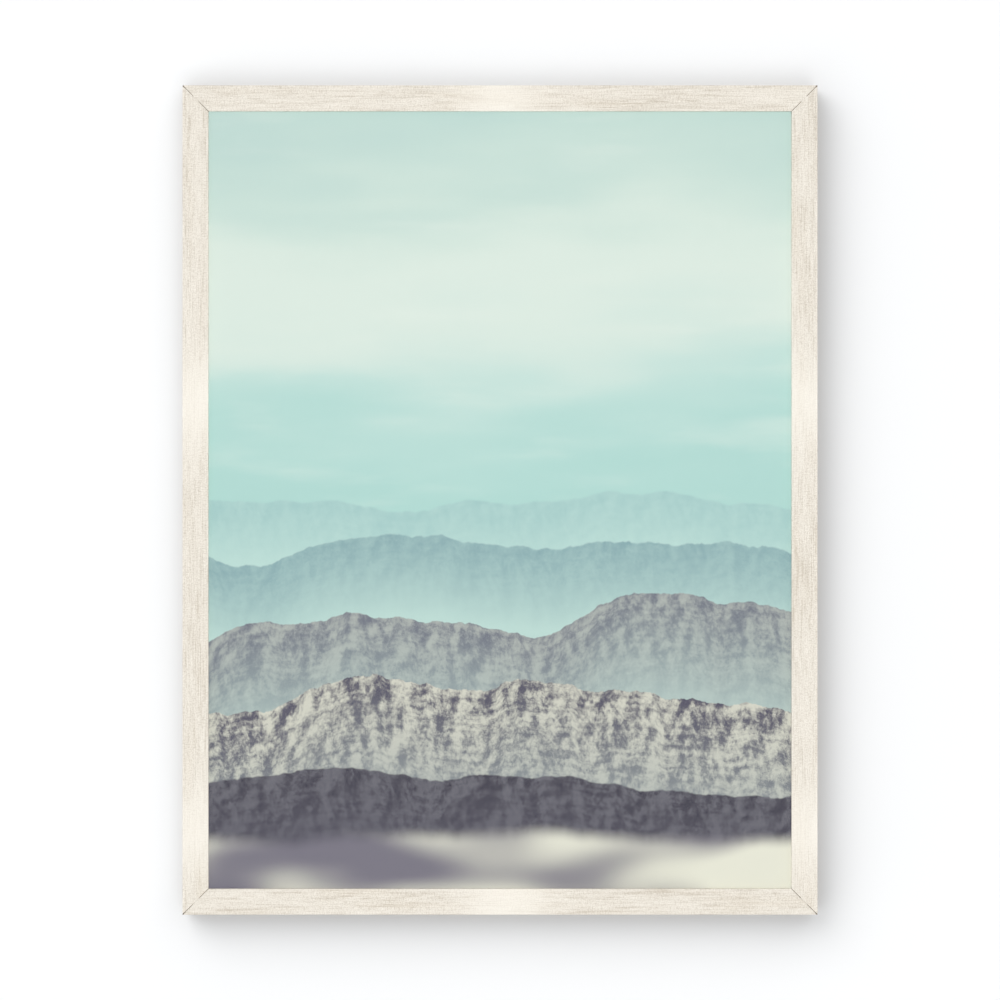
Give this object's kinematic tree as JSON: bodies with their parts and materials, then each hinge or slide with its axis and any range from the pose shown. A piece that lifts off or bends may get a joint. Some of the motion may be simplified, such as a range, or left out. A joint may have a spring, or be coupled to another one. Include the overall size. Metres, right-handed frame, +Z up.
{
  "type": "framed picture",
  "caption": "Portrait picture in a mitred pale wooden frame: glass, print and backing board held by framer's tabs, with a saw-tooth hanger and wall bumpers behind.",
  "frame": {"origin": "the point of the wall where the hanging nail stands: on the wall's plane, at the apex of the saw-tooth hanger's middle notch", "axes": "+X to the right as seen from the front, +Y into the wall, so that the picture faces -Y and the wall is the plane y = 0, +Z up"},
  "size_m": [0.49, 0.0283, 0.64],
  "materials": {
    "whitewashed_wood": "pale bleached wood with a thin white wash, matt, with fine greyish beige grain along each rail",
    "clear_glass": "clear low-reflection picture glass, 2 mm",
    "print_paper": null,
    "backing_board": "raw brown fibreboard",
    "dark_steel": "blued spring steel, satin",
    "zinc_plated_steel": "zinc plated, slightly dull",
    "bumper_rubber": "soft pale grey rubber, matt"
  },
  "bodies": {
    "root": {"rail_top": "whitewashed_wood", "rail_right": "whitewashed_wood", "rail_bottom": "whitewashed_wood", "rail_left": "whitewashed_wood", "glass": "clear_glass", "print_sheet": "print_paper", "backing_board": "backing_board", "tab_top_1": "dark_steel", "tab_top_2": "dark_steel", "tab_right_1": "dark_steel", "tab_right_2": "dark_steel", "tab_right_3": "dark_steel", "tab_bottom_1": "dark_steel", "tab_bottom_2": "dark_steel", "tab_left_1": "dark_steel", "tab_left_2": "dark_steel", "tab_left_3": "dark_steel", "v_nail_top_left": "zinc_plated_steel", "v_nail_top_right": "zinc_plated_steel", "v_nail_bottom_left": "zinc_plated_steel", "v_nail_bottom_right": "zinc_plated_steel", "hanger_plate": "zinc_plated_steel", "hanger_screw_left": "zinc_plated_steel", "hanger_screw_right": "zinc_plated_steel", "bumper_left": "bumper_rubber", "bumper_right": "bumper_rubber"}
  },
  "joints": []
}
